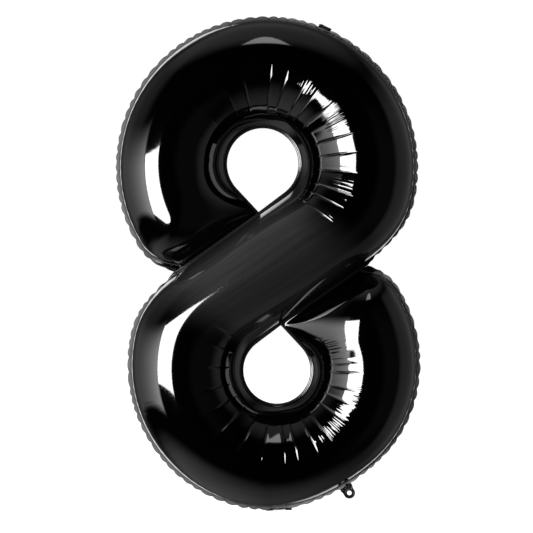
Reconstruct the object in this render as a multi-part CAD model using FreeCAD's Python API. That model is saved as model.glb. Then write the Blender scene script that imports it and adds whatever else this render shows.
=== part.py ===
"""Inflated foil numeral balloon in the shape of an 8, built from two heat-sealed films.

Frame: +X to the viewer's right, +Z up, -Y towards the viewer. The origin is the centre of the
balloon's bounding box, on the plane where the two films are welded together. All sizes in mm.

The gas space is one S-shaped tube between two rails. It starts at a weld on the left of the
crossing, runs clockwise round the upper hole, down the diagonal, anticlockwise round the lower
hole, and ends at a second weld on the right. Angles are in degrees. Those of a loop are counted
from its own start: the lower loop is the upper one turned by half a turn.
"""
import FreeCAD
import Part
import math
import os

from FreeCAD import Placement, Rotation, Vector

# ---- film ----
FILM = 0.5                  # film thickness as modelled
VALVE_FILM = 0.15           # each of the two thin films of the self-sealing valve
OUTER_MARGIN = 7.0          # flat weld outside the tube
HOLE_MARGIN = 5.0           # flat weld round each hole
CROSS_MARGIN = 3.5          # half the width of the weld strips at the crossing

# ---- numeral outline, at the cut edge of the film ----
UPPER_CENTRE, UPPER_RADIUS = (-2.0, 168.0), 263.0
LOWER_CENTRE, LOWER_RADIUS = (10.0, -175.0), 255.0
UPPER_HOLE, UPPER_HOLE_RADIUS = (-9.5, 174.0), 62.0
LOWER_HOLE, LOWER_HOLE_RADIUS = (15.0, -184.0), 58.0
LEFT_NOTCH, RIGHT_NOTCH = (-164.0, -13.0), (173.0, -2.0)
TIP_ANGLE = -95.0           # where a teardrop hole comes to its point
TIP_HALF_ANGLE = 42.0       # from the point to where its sides touch the circle
LEAVE_ANGLE = -13.0         # where a loop leaves its circle for the diagonal
END_ANGLE = 212.0           # where a loop leaves its circle for its closed end
END_HANDLE = 34.0           # length of the curve's handle from there
LEAVE_HANDLE, NOTCH_HANDLE, NOTCH_HEADING = 55.0, 38.0, -130.0   # curve from the circle to the notch
NOTCH_TO_TUBE = 15.0        # from a notch's point along its weld to where the closed end begins
NOTCH_CLEARANCE = 7.0       # from a notch's point to the diagonal's side
FLATTENING, FLAT_ANGLE, FLAT_SPREAD = 10.0, 122.0, 28.0          # the lower loop is flat at lower right

# ---- tube ----
HALF_DEPTH = 83.0           # from the weld plane to the crest
END_LENGTH, END_ROWS = 40.0, 5          # a closed end rounds down to its weld over this length
STATION_ANGLES = (180.0, 90.0, 0.0)     # where the two rails are matched round a loop
TURN_ANGLE = -47.0          # the hole's angle that faces the notch
ROW_STEP = 17.0             # spacing of the control net along the tube
COLUMNS = 16                # its steps across the tube

# ---- eyelet tabs and filling neck ----
HINGE_GAP = 2.0             # bend line between the film's edge and a tab or the neck
TAB_ROOT, TAB_SHOULDER = 24.0, 6.0      # width at the root, and the length over which it narrows
TAB_RADIUS, TAB_HEAD = 10.0, 12.0       # rounded end, and how far out its centre lies
EYELET_RADIUS = 4.0
LOWER_TAB_ANGLE, LOWER_TAB_FOLD = -59.5, 0.0
UPPER_TAB_ANGLE, UPPER_TAB_FOLD = 67.5, 78.0
NECK_ANGLE, NECK_FOLD = -88.0, 90.0
NECK_ROOT, NECK_WIDTH = 46.0, 30.0
NECK_SHOULDER, NECK_LENGTH = 14.0, 62.0
VALVE_WIDTH, VALVE_INSIDE, VALVE_SLOT = 22.0, 105.0, 0.3
SLOT_DEPTH = 12.0           # how far the valve's slot runs in from the film's edge

STEPS = 24                  # points on each piece of a rail


def polar(centre, radius, degrees):
    a = math.radians(degrees)
    return (centre[0] + radius * math.cos(a), centre[1] + radius * math.sin(a))


def between(p, q, t):
    return (p[0] + (q[0] - p[0]) * t, p[1] + (q[1] - p[1]) * t)


def moved(p, direction, distance):
    return (p[0] + direction[0] * distance, p[1] + direction[1] * distance)


def unit(p, q):
    return moved((0, 0), (q[0] - p[0], q[1] - p[1]), 1 / math.dist(p, q))


def bezier(*handles):
    """Points on the Bezier curve with these handles; with two handles it is a straight line."""
    points = []
    for i in range(STEPS + 1):
        level = list(handles)
        while len(level) > 1:
            level = [between(p, q, i / STEPS) for p, q in zip(level, level[1:])]
        points.append(level[0])
    return points


def length(points):
    return sum(math.dist(p, q) for p, q in zip(points, points[1:]))


def along(points, share):
    """The point at that share of the length of a chain of points."""
    left = share * length(points)
    for p, q in zip(points, points[1:]):
        step = math.dist(p, q)
        if left <= step:
            return between(p, q, left / step)
        left -= step
    return points[-1]


def meeting(p, d, q, e):
    """Where the line from p along d meets the line from q along e."""
    cross = d[0] * e[1] - d[1] * e[0]
    return moved(p, d, ((q[0] - p[0]) * e[1] - (q[1] - p[1]) * e[0]) / cross)


def foot(point, p, q):
    """The nearest point to a point on the line through p and q."""
    d = unit(p, q)
    return moved(p, d, (point[0] - p[0]) * d[0] + (point[1] - p[1]) * d[1])


class Loop:
    """A loop of the numeral, its teardrop hole, and the weld from its notch to the hole's point."""

    def __init__(self, centre, radius, hole, hole_radius, notch, turn, flattening):
        self.centre, self.radius, self.flattening = centre, radius, flattening
        self.hole, self.hole_radius = hole, hole_radius
        self.notch, self.turn = notch, turn
        self.tip = self.on_hole(hole_radius / math.cos(math.radians(TIP_HALF_ANGLE)), TIP_ANGLE)
        self.weld = unit(notch, self.tip)
        self.up = (-self.weld[1], self.weld[0])     # from the weld into the loop's closed end

    def heading(self, angle):
        return polar((0, 0), 1, angle + self.turn)

    def on_hole(self, radius, angle):
        return polar(self.hole, radius, angle + self.turn)

    def on_edge(self, inset, angle):
        off = (angle - FLAT_ANGLE + 180) % 360 - 180
        flat = self.flattening * math.exp(-(off / FLAT_SPREAD) ** 2)
        return polar(self.centre, self.radius - flat - inset, angle + self.turn)

    def edge_arc(self, inset, start, end):
        return [self.on_edge(inset, start + (end - start) * i / STEPS) for i in range(STEPS + 1)]

    def hole_arc(self, start, end):
        radius = self.hole_radius + HOLE_MARGIN
        return [self.on_hole(radius, start + (end - start) * i / STEPS) for i in range(STEPS + 1)]

    def end_corner(self):
        """The closed end's corner beside the notch."""
        return moved(moved(self.notch, self.weld, NOTCH_TO_TUBE), self.up, CROSS_MARGIN)

    def end_tip(self):
        """The closed end's corner beside the point of the hole."""
        touch = TIP_ANGLE - TIP_HALF_ANGLE
        side = self.on_hole(self.hole_radius + HOLE_MARGIN, touch)
        return meeting(moved(self.notch, self.up, CROSS_MARGIN), self.weld, side, self.heading(touch + 90))

    def shoulder(self, inset, end):
        """From the closed end's corner, or the notch, up to the loop's circle."""
        start = self.on_edge(inset, END_ANGLE)
        return bezier(end, moved(start, self.heading(END_ANGLE + 90), END_HANDLE), start)


UPPER = Loop(UPPER_CENTRE, UPPER_RADIUS, UPPER_HOLE, UPPER_HOLE_RADIUS, LEFT_NOTCH, 0.0, 0.0)
LOWER = Loop(LOWER_CENTRE, LOWER_RADIUS, LOWER_HOLE, LOWER_HOLE_RADIUS, RIGHT_NOTCH, 180.0, FLATTENING)


def rail(near, far):
    """One side of the tube: outside the near loop, down the diagonal, then round the far loop's hole.

    It is a list of pieces, one between each pair of stations.
    """
    side_angle = TIP_ANGLE + TIP_HALF_ANGLE
    side_start = moved(far.notch, far.up, -NOTCH_CLEARANCE)
    side_end = far.on_hole(far.hole_radius + HOLE_MARGIN, side_angle)
    leave = near.on_edge(OUTER_MARGIN, LEAVE_ANGLE)
    heading = near.heading(LEAVE_ANGLE - 90)
    corner = meeting(leave, heading, side_start, unit(side_start, side_end))
    near_foot = foot(near.tip, side_start, side_end)
    far_foot = foot(far.tip, side_start, side_end)
    left, top, right = STATION_ANGLES
    return [near.shoulder(OUTER_MARGIN, near.end_corner())[:-1] + near.edge_arc(OUTER_MARGIN, END_ANGLE, left),
            near.edge_arc(OUTER_MARGIN, left, top),
            near.edge_arc(OUTER_MARGIN, top, right),
            near.edge_arc(OUTER_MARGIN, right, LEAVE_ANGLE)[:-1] + bezier(leave, corner, side_start),
            bezier(side_start, near_foot),
            bezier(near_foot, far_foot),
            bezier(far_foot, side_end)[:-1] + far.hole_arc(side_angle, TURN_ANGLE),
            far.hole_arc(TURN_ANGLE, right),
            far.hole_arc(right, top),
            far.hole_arc(top, left),
            far.hole_arc(left, TIP_ANGLE - TIP_HALF_ANGLE + 360)[:-1]
            + bezier(far.on_hole(far.hole_radius + HOLE_MARGIN, TIP_ANGLE - TIP_HALF_ANGLE), far.end_tip())]


RAIL_A = rail(UPPER, LOWER)
RAIL_B = [piece[::-1] for piece in rail(LOWER, UPPER)[::-1]]


def rows():
    """Places of the control net's rows: the piece, the share of it, and the height of the section."""
    places = []
    last = len(RAIL_A) - 1
    for piece in range(last + 1):
        mean = (length(RAIL_A[piece]) + length(RAIL_B[piece])) / 2
        start = END_LENGTH / mean if piece == 0 else 0.0
        end = 1 - END_LENGTH / mean if piece == last else 1.0
        count = max(2, round(mean * (end - start) / ROW_STEP))
        if piece == 0:
            for i in range(END_ROWS):
                a = math.pi / 2 * i / END_ROWS
                places.append((piece, start * (1 - math.cos(a)), math.sin(a)))
        places += [(piece, start + (end - start) * i / count, 1.0) for i in range(count)]
    for i in range(END_ROWS + 1):
        a = math.pi / 2 * (1 - i / END_ROWS)
        places.append((last, 1 - (1 - end) * (1 - math.cos(a)), math.sin(a)))
    return places


def net(inset):
    """Control net of the tube's front surface; the inner face of the film is inset from the outer."""
    base = -FILM + inset
    places = rows()
    poles = []
    for piece, share, rise in places:
        a = along(RAIL_A[piece], share)
        b = along(RAIL_B[piece], share)
        inward = unit(a, b)
        level = math.sqrt(max(0.0, 1 - rise * rise)) * inset
        lengthways = (inward[1], -inward[0]) if piece == 0 else (-inward[1], inward[0])
        row = []
        for j in range(COLUMNS + 1):
            t = math.pi * j / COLUMNS
            x, z = between(a, b, (1 - math.cos(t)) / 2)
            x, z = moved((x, z), inward, inset * math.cos(t))
            x, z = moved((x, z), lengthways, -level)
            row.append(Vector(x, base - HALF_DEPTH * rise * math.sin(t), z))
        poles.append(row)
    return poles


def spline_face(poles):
    surface = Part.BSplineSurface()
    knots = []
    for count in (len(poles), len(poles[0])):
        knots.append(([4] + [1] * (count - 4) + [4], [float(i) for i in range(count - 2)]))
    surface.buildFromPolesMultsKnots(poles, knots[0][0], knots[1][0], knots[0][1], knots[1][1],
                                     False, False, 3, 3)
    return surface.toShape()


def curve(points, y):
    spline = Part.BSplineCurve()
    spline.interpolate([Vector(x, y, z) for x, z in points])
    return spline.toShape()


def outline_wire(y):
    """The cut edge of the film, from notch to notch round each loop."""
    edges = []
    for near, far in ((UPPER, LOWER), (LOWER, UPPER)):
        leave = near.on_edge(0.0, LEAVE_ANGLE)
        out = moved(leave, near.heading(LEAVE_ANGLE - 90), LEAVE_HANDLE)
        back = moved(far.notch, near.heading(NOTCH_HEADING), -NOTCH_HANDLE)
        points = near.shoulder(0.0, near.notch)[:-1]
        for start, end in ((END_ANGLE, 130.0), (130.0, 60.0), (60.0, LEAVE_ANGLE)):
            points += near.edge_arc(0.0, start, end)[:-1]
        points += bezier(leave, out, back, far.notch)
        edges.append(curve(points, y))
    return Part.Wire(edges)


def hole_wire(loop, y):
    start = loop.on_hole(loop.hole_radius, TIP_ANGLE + TIP_HALF_ANGLE)
    middle = loop.on_hole(loop.hole_radius, TIP_ANGLE + 180)
    end = loop.on_hole(loop.hole_radius, TIP_ANGLE - TIP_HALF_ANGLE)
    p, m, q, tip = [Vector(x, y, z) for x, z in (start, middle, end, loop.tip)]
    return Part.Wire([Part.Arc(p, m, q).toShape(), Part.makeLine(q, tip), Part.makeLine(tip, p)])


def flat_face(tube, y):
    """The flat weld margins on one side of the film, open where the tube rises."""
    wires = [outline_wire(y), hole_wire(UPPER, y), hole_wire(LOWER, y), Part.Wire(tube.Edges)]
    return Part.makeFace(wires, "Part::FaceMakerBullseye")


def valve_slot():
    """The room that each panel leaves for the valve to pass through the weld."""
    slot = Part.makeBox(VALVE_WIDTH + 1, VALVE_SLOT, SLOT_DEPTH + HINGE_GAP,
                        Vector(-(VALVE_WIDTH + 1) / 2, -VALVE_SLOT / 2, -SLOT_DEPTH))
    return slot.transformed(edge_placement(LOWER, NECK_ANGLE, 0.0).toMatrix())


def edge_placement(loop, angle, fold):
    """Local X runs along the film's edge, Z points out of it and Y points to the back."""
    x, z = loop.on_edge(-HINGE_GAP / 2, angle - loop.turn)
    face_out = Placement(Vector(x, 0, z), Rotation(Vector(0, 1, 0), 90 - angle))
    return face_out.multiply(Placement(Vector(), Rotation(Vector(1, 0, 0), -fold)))


def front_panel():
    outer = spline_face(net(0.0))
    inner = spline_face(net(FILM))
    walls = []
    for wire in (outline_wire(-FILM), hole_wire(UPPER, -FILM), hole_wire(LOWER, -FILM)):
        walls += wire.extrude(Vector(0, FILM, 0)).Faces
    skin = Part.Compound([outer, inner, flat_face(outer, -FILM), flat_face(inner, 0.0)] + walls)
    skin.sewShape(0.001)
    solid = Part.Solid(skin.Shells[0])
    if solid.Volume < 0:
        solid.reverse()
    return solid.cut(valve_slot()).Solids[0]


def mirrored(shape):
    return shape.mirror(Vector(), Vector(0, 1, 0))


def strip(points, thickness, near_side):
    """A flat layer from its outline in local X and Z, on the front or the back of local Y = 0."""
    start = -thickness if near_side else 0.0
    corners = [Vector(x, start, z) for x, z in points]
    face = Part.Face(Part.makePolygon(corners + corners[:1]))
    return face.extrude(Vector(0, thickness, 0))


def tab_layer(near_side):
    """Tapered root, rounded end and the eyelet hole."""
    low = HINGE_GAP / 2
    end = [polar((0, TAB_HEAD), TAB_RADIUS, a) for a in range(-10, 191, 8)]
    layer = strip([(TAB_ROOT / 2, low), (TAB_RADIUS, low + TAB_SHOULDER)] + end
                  + [(-TAB_RADIUS, low + TAB_SHOULDER), (-TAB_ROOT / 2, low)], FILM, near_side)
    eyelet = Part.makeCylinder(EYELET_RADIUS, 4 * FILM, Vector(0, -2 * FILM, TAB_HEAD), Vector(0, 1, 0))
    return layer.cut(eyelet).Solids[0]


def neck_layer(near_side):
    low = HINGE_GAP / 2
    half_root, half = NECK_ROOT / 2, NECK_WIDTH / 2
    return strip([(half_root, low), (half, low + NECK_SHOULDER), (half, NECK_LENGTH),
                  (-half, NECK_LENGTH), (-half, low + NECK_SHOULDER), (-half_root, low)], FILM, near_side)


def valve_layer(near_side):
    half = VALVE_WIDTH / 2
    return strip([(half, 0.0), (half, -VALVE_INSIDE), (-half, -VALVE_INSIDE), (-half, 0.0)], VALVE_FILM, near_side)


def placed(layer, loop, angle, fold):
    return layer.transformed(edge_placement(loop, angle, fold).toMatrix())


front = front_panel()
nodes = {"front_panel": front, "back_panel": mirrored(front)}
for side, near_side in (("front", True), ("back", False)):
    nodes["lower_tab_" + side] = placed(tab_layer(near_side), LOWER, LOWER_TAB_ANGLE, LOWER_TAB_FOLD)
    nodes["upper_tab_" + side] = placed(tab_layer(near_side), UPPER, UPPER_TAB_ANGLE, UPPER_TAB_FOLD)
    nodes["neck_" + side] = placed(neck_layer(near_side), LOWER, NECK_ANGLE, NECK_FOLD)
    nodes["valve_film_" + side] = placed(valve_layer(near_side), LOWER, NECK_ANGLE, 0.0)

os.makedirs("parts", exist_ok=True)
for name, shape in nodes.items():
    box = shape.BoundBox
    print(name, shape.ShapeType, "valid", shape.isValid(), "volume %.0f" % shape.Volume,
          "x %.1f %.1f y %.1f %.1f z %.1f %.1f" % (box.XMin, box.XMax, box.YMin, box.YMax, box.ZMin, box.ZMax))
    shape.exportStep("parts/" + name + ".step")
for label, loop, angle, fold in (("lower tab", LOWER, LOWER_TAB_ANGLE, LOWER_TAB_FOLD),
                                 ("upper tab", UPPER, UPPER_TAB_ANGLE, UPPER_TAB_FOLD),
                                 ("neck", LOWER, NECK_ANGLE, NECK_FOLD)):
    place = edge_placement(loop, angle, fold)
    eyelet = place.multVec(Vector(0, 0, TAB_HEAD))
    print(label, "hinge at", place.Base, "axis", place.Rotation.multVec(Vector(1, 0, 0)),
          "face", place.Rotation.multVec(Vector(0, 1, 0)), "eyelet", eyelet)
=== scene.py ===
"""The look of an inflated foil numeral balloon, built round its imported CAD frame.

Both films are one S-shaped tube between two rails, as in the CAD model. Lengths are in
millimetres until a mesh is made, and angles are in degrees. Those of a loop are counted from
its own start: the lower loop is the upper one turned by half a turn.
"""

import math

import bmesh
import bpy
import numpy as np
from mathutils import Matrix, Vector


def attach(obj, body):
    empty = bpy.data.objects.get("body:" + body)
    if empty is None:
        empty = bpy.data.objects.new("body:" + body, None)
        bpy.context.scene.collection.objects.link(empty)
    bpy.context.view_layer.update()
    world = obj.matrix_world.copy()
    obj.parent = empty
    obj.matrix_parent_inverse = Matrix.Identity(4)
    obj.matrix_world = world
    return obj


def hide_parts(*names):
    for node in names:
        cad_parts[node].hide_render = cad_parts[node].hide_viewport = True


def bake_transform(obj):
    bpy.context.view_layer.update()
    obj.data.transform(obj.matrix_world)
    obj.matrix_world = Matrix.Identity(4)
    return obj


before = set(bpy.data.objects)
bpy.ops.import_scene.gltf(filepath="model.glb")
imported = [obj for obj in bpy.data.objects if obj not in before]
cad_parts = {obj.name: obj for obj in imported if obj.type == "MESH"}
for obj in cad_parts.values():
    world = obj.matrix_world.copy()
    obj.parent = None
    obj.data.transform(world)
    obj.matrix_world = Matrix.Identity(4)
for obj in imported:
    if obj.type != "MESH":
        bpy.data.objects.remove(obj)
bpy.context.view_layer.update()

MM = 0.001
MERGE = 1e-6                # points closer than this many metres become one
rng = np.random.default_rng(8)

# ---- outline of the numeral at the film's cut edge ----
UPPER_CENTRE, UPPER_RADIUS = (-2.0, 168.0), 263.0
LOWER_CENTRE, LOWER_RADIUS = (10.0, -175.0), 255.0
UPPER_HOLE, UPPER_HOLE_RADIUS = (-9.5, 174.0), 62.0
LOWER_HOLE, LOWER_HOLE_RADIUS = (15.0, -184.0), 58.0
LEFT_NOTCH, RIGHT_NOTCH = (-164.0, -13.0), (173.0, -2.0)
TIP_ANGLE, TIP_HALF_ANGLE = -95.0, 42.0
LEAVE_ANGLE, END_ANGLE, END_HANDLE = -13.0, 212.0, 34.0
LEAVE_HANDLE, NOTCH_HANDLE, NOTCH_HEADING = 55.0, 38.0, -130.0
NOTCH_TO_TUBE, NOTCH_CLEARANCE = 15.0, 7.0
FLATTENING, FLAT_ANGLE, FLAT_SPREAD = 10.0, 122.0, 28.0
OUTER_MARGIN, HOLE_MARGIN, CROSS_MARGIN = 7.0, 5.0, 3.5
STATION_ANGLES, TURN_ANGLE = (180.0, 90.0, 0.0), -47.0

# ---- tube ----
FILM = 0.3                  # half the thickness of the welded margin
OVERLAP = 0.8               # the two sides of a crossing weld overlap by this much
ROWS = 60                   # mesh rows across the tube
MARGIN_ROWS = 3             # rows of the flat weld on either side of those
SHEET_ROWS = ROWS + 1 + 2 * MARGIN_ROWS
COLUMN_STEP = 3.0           # spacing of the mesh columns on the longer side
COLUMN_CLEAR, COLUMN_LEAST = 0.6, 0.25    # room beside a crease's columns, and between any two
END_COLUMNS = (0, 0.6, 1.8, 4, 7.5, 12, 17, 23, 30)    # closer columns at a closed end
LOOP_CURVATURE = 0.42       # half-width over the loop's radius, as the section feels it
SECTIONS = 15               # sections worked out between a straight tube's and a loop's
SECTION_STEPS, RAIL_STEPS = 2001, 4000    # points that a section is summed over, or a loop searched at
END_LENGTH, HOLE_END_LENGTH = 48.0, 125.0    # a closed end rounds down over these: outside, at the hole
EVENING = 16.0              # the rows across the tube turn smoothly over this length
CHANGING = 45.0             # its section changes smoothly over this length
LEVELLING = 110.0           # and its depth over this one
HALF_DEPTH = 83.0           # of the tube where it is deepest

# ---- creases from the holes, as (angle, depth, reach from the hole's centre) ----
UPPER_CREASES = ((118, 0.5, 150), (104, 0.9, 165), (86, 1.2, 178), (76, 1.1, 172), (63, 1.2, 168),
                 (54, 0.9, 165), (41, 1.3, 165), (32, 0.5, 150), (19, 1.3, 172), (6.6, 1.2, 168),
                 (-6.5, 1.2, 172), (-22, 1.1, 178), (-32, 1.1, 172), (-44, 0.9, 168),
                 (140, 0.35, 130), (158, 0.35, 130), (176, 0.35, 125), (193, 0.3, 120))
LOWER_CREASES = ((141, 0.9, 150), (157, 1.0, 140), (177, 1.2, 140), (196, 1.2, 142), (212, 1.1, 146),
                 (228, 0.9, 165), (246, 1.1, 172), (261, 1.1, 170), (276, 1.2, 171), (284, 1.1, 170),
                 (297, 1.2, 171), (308, 1.1, 165), (323, 1.2, 150), (335, 1.3, 146), (345, 1.2, 142),
                 (359, 1.3, 146), (367, 1.0, 142), (374, 0.5, 130), (386, 0.3, 120))
CREASE_INSET, CREASE_RISE = 14.0, 30.0    # a crease starts this far out of the weld, and deepens over this
CREASE_TAIL, CREASE_FALL = 42.0, 45.0    # it fades this far before its reach, over this length
WANDER, WANDER_RADII = 0.9, (90.0, 180.0)    # how far a crease strays sideways between these radii
FULLNESS = 0.3              # of the film between two creases, from flat (0) to round (1)
LOBE_RADII = (70.0, 120.0, 180.0)    # that fullness grows to the second radius, then fades
LOBE_TURN = 0.72            # of a full turn that a loop's tube positions stand for
CREASE_WIDTH = 1.1          # a groove's depth falls to a third this far from its middle
CREASE_COLUMNS = (-5.0, -2.8, -1.6, -0.9, -0.4, 0.0, 0.4, 0.9, 1.6, 2.8, 5.0)
CREASE_RADIUS = 100.0       # where the columns beside a crease stand that far apart

# ---- puckers at the outer weld ----
PUCKER_STEP, PUCKER_SPREAD = 21.0, 0.35
PUCKER_SIZE, PUCKER_DRAWS = (0.35, 1.0), 400    # more draws than a weld has nicks
PUCKER_DEPTH, PUCKER_REACH, PUCKER_START = 1.5, 17.0, 3.0
PUCKER_FADE = 20.0          # from the ends of an outer weld
SCALLOP, FLANGE_WAVE = 3.4, 1.6    # how far the edge is cut back, and how far it leans
SCALLOP_LEAST = 0.4         # the smallest nick's share of that
INNER_MARGIN, INNER_SHARE, INNER_LIFT = 2.0, 0.35, 0.3    # the weld's row of points beside the tube

# ---- finish, painted sheen and painted weld light ----
HAZE_HALF, HAZE_FADE, HAZE_SHIFT = 80.0, 130.0, 45.0    # the haze and its painted sheen reach along the tube, from its middle
HAZE_FLOOR, RIDGE, RIDGE_WIDTH = 0.5, 0.66, 0.12    # haziest, with the brightest painted sheen, along one line, as shares of the film's width
HOLE_WELD, WELD_LEFT, WELD_FOOT = 0.004, 0.08, 0.015    # how pale welds are, beside the right-hand one, whose paleness is painted light where the tube shades it from the key light
PAINTED_LIGHT_FROM, PAINTED_LIGHT_OVER = -20.0, 230.0    # the outer weld's painted light grows from left-hand to right-hand along X
NOTCH_PAINTED_SHADE, NOTCH_OVER = 15.0, 90.0    # painted shade makes the weld dark at the notches, and it pales over this length
NICK_PAINTED_SHADE = 0.8             # of a weld's paleness that painted shade in a nick takes away
BUNDLE_IN, BUNDLE_OUT = 16.0, 22.0    # fine wrinkles grow and fade over these lengths
# Bundles of fine wrinkles, as (angle, spread, inner radius, outer radius).
UPPER_BUNDLES = ((58, 5, 125, 150), (31, 8, 118, 158), (-19, 6, 120, 158), (-40, 5, 128, 160))
LOWER_BUNDLES = ((316, 11, 112, 158), (24, 9, 84, 108), (343, 7, 126, 146))

STEPS = 48                  # points on each piece of a rail


def polar(centre, radius, degrees):
    a = np.radians(degrees)
    return np.stack([centre[0] + radius * np.cos(a), centre[1] + radius * np.sin(a)], -1)


def unit(p, q):
    d = np.asarray(q, float) - np.asarray(p, float)
    return d / np.linalg.norm(d)


def bezier(*handles):
    t = np.linspace(0, 1, STEPS + 1)[:, None]
    level = [np.asarray(h, float) for h in handles]
    while len(level) > 1:
        level = [p + (q - p) * t for p, q in zip(level, level[1:])]
    return level[0]


def lengths(points):
    steps = np.linalg.norm(np.diff(points, axis=0), axis=1)
    return np.concatenate([[0.0], np.cumsum(steps)])


def along(points, shares):
    """The points at those shares of the length of a chain of points."""
    s = lengths(points)
    return np.stack([np.interp(np.asarray(shares) * s[-1], s, points[:, i]) for i in (0, 1)], -1)


def meeting(p, d, q, e):
    """Where the line from p along d meets the line from q along e."""
    cross = d[0] * e[1] - d[1] * e[0]
    return p + d * ((q[0] - p[0]) * e[1] - (q[1] - p[1]) * e[0]) / cross


def foot(point, p, q):
    """The nearest point to a point on the line through p and q."""
    d = unit(p, q)
    return p + d * np.dot(point - p, d)


class Loop:
    """A loop of the numeral, its teardrop hole, and the weld from its notch to the hole's point."""

    def __init__(self, centre, radius, hole, hole_radius, notch, turn, flattening):
        self.centre, self.radius, self.flattening = np.array(centre), radius, flattening
        self.hole, self.hole_radius = np.array(hole), hole_radius
        self.notch, self.turn = np.array(notch), turn
        self.tip = self.on_hole(hole_radius / math.cos(math.radians(TIP_HALF_ANGLE)), TIP_ANGLE)
        self.weld = unit(self.notch, self.tip)
        self.up = np.array([-self.weld[1], self.weld[0]])

    def heading(self, angle):
        return polar((0, 0), 1, angle + self.turn)

    def on_hole(self, radius, angle):
        return polar(self.hole, radius, angle + self.turn)

    def on_edge(self, inset, angle):
        off = (angle - FLAT_ANGLE + 180) % 360 - 180
        flat = self.flattening * np.exp(-(off / FLAT_SPREAD) ** 2)
        return polar(self.centre, self.radius - flat - inset, angle + self.turn)

    def edge_arc(self, inset, start, end):
        return self.on_edge(inset, np.linspace(start, end, STEPS + 1))

    def hole_arc(self, margin, start, end):
        return self.on_hole(self.hole_radius + margin, np.linspace(start, end, STEPS + 1))

    def shoulder(self, inset, end):
        start = self.on_edge(inset, END_ANGLE)
        return bezier(end, start + self.heading(END_ANGLE + 90) * END_HANDLE, start)


UPPER = Loop(UPPER_CENTRE, UPPER_RADIUS, UPPER_HOLE, UPPER_HOLE_RADIUS, LEFT_NOTCH, 0.0, 0.0)
LOWER = Loop(LOWER_CENTRE, LOWER_RADIUS, LOWER_HOLE, LOWER_HOLE_RADIUS, RIGHT_NOTCH, 180.0, FLATTENING)


def join(p, q):
    return np.concatenate([p[:-1], q])


def tube_rail(near, far):
    """Where the film leaves the weld: outside the near loop, down the diagonal, round the far hole."""
    side_angle = TIP_ANGLE + TIP_HALF_ANGLE
    end_angle = TIP_ANGLE - TIP_HALF_ANGLE + 360
    start = near.notch + near.weld * NOTCH_TO_TUBE + near.up * CROSS_MARGIN
    side_start = far.notch - far.up * NOTCH_CLEARANCE
    side_end = far.on_hole(far.hole_radius + HOLE_MARGIN, side_angle)
    leave = near.on_edge(OUTER_MARGIN, LEAVE_ANGLE)
    corner = meeting(leave, near.heading(LEAVE_ANGLE - 90), side_start, unit(side_start, side_end))
    near_foot = foot(near.tip, side_start, side_end)
    far_foot = foot(far.tip, side_start, side_end)
    hole_end = far.on_hole(far.hole_radius + HOLE_MARGIN, end_angle)
    end_tip = meeting(far.notch + far.up * CROSS_MARGIN, far.weld, hole_end, far.heading(end_angle + 90))
    left, top, right = STATION_ANGLES
    return [join(near.shoulder(OUTER_MARGIN, start), near.edge_arc(OUTER_MARGIN, END_ANGLE, left)),
            near.edge_arc(OUTER_MARGIN, left, top),
            near.edge_arc(OUTER_MARGIN, top, right),
            join(near.edge_arc(OUTER_MARGIN, right, LEAVE_ANGLE), bezier(leave, corner, side_start)),
            bezier(side_start, near_foot),
            bezier(near_foot, far_foot),
            join(bezier(far_foot, side_end), far.hole_arc(HOLE_MARGIN, side_angle, TURN_ANGLE)),
            far.hole_arc(HOLE_MARGIN, TURN_ANGLE, right),
            far.hole_arc(HOLE_MARGIN, right, top),
            far.hole_arc(HOLE_MARGIN, top, left),
            join(far.hole_arc(HOLE_MARGIN, left, end_angle), bezier(hole_end, end_tip))]


def edge_rail(near, far):
    """The film's cut edge, or the middle of the weld at the crossing, beside each point of tube_rail."""
    side_angle = TIP_ANGLE + TIP_HALF_ANGLE
    end_angle = TIP_ANGLE - TIP_HALF_ANGLE + 360
    leave = near.on_edge(0.0, LEAVE_ANGLE)
    out = leave + near.heading(LEAVE_ANGLE - 90) * LEAVE_HANDLE
    back = far.notch - near.heading(NOTCH_HEADING) * NOTCH_HANDLE
    near_foot = foot(near.tip, far.notch, far.tip)
    left, top, right = STATION_ANGLES
    return [join(near.shoulder(0.0, near.notch), near.edge_arc(0.0, END_ANGLE, left)),
            near.edge_arc(0.0, left, top),
            near.edge_arc(0.0, top, right),
            join(near.edge_arc(0.0, right, LEAVE_ANGLE), bezier(leave, out, back, far.notch)),
            bezier(far.notch, near_foot),
            bezier(near_foot, far.tip),
            join(bezier(far.tip, far.on_hole(far.hole_radius, side_angle)),
                 far.hole_arc(0.0, side_angle, TURN_ANGLE)),
            far.hole_arc(0.0, TURN_ANGLE, right),
            far.hole_arc(0.0, right, top),
            far.hole_arc(0.0, top, left),
            join(far.hole_arc(0.0, left, end_angle),
                 bezier(far.on_hole(far.hole_radius, end_angle), far.tip))]


def turned_round(pieces):
    return [piece[::-1] for piece in pieces[::-1]]


TUBE_A, EDGE_A = tube_rail(UPPER, LOWER), edge_rail(UPPER, LOWER)
TUBE_B, EDGE_B = turned_round(tube_rail(LOWER, UPPER)), turned_round(edge_rail(LOWER, UPPER))
PIECES = len(TUBE_A)
LONGER = np.array([max(lengths(a)[-1], lengths(b)[-1]) for a, b in zip(TUBE_A, TUBE_B)])
STARTS = np.concatenate([[0.0], np.cumsum(LONGER)])
EVEN = np.arange(0, STARTS[-1] + 1, 1.0)


def evened(values, spread):
    """Values at each millimetre along the tube, smoothed over a spread in millimetres."""
    weight = np.exp(-(np.arange(-3 * spread, 3 * spread + 1) / spread) ** 2 / 2)
    padded = np.pad(values, ((len(weight) // 2,) * 2, (0, 0)), mode="reflect", reflect_type="odd")
    return np.stack([np.convolve(row, weight / weight.sum(), mode="valid") for row in padded.T], axis=1)


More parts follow.
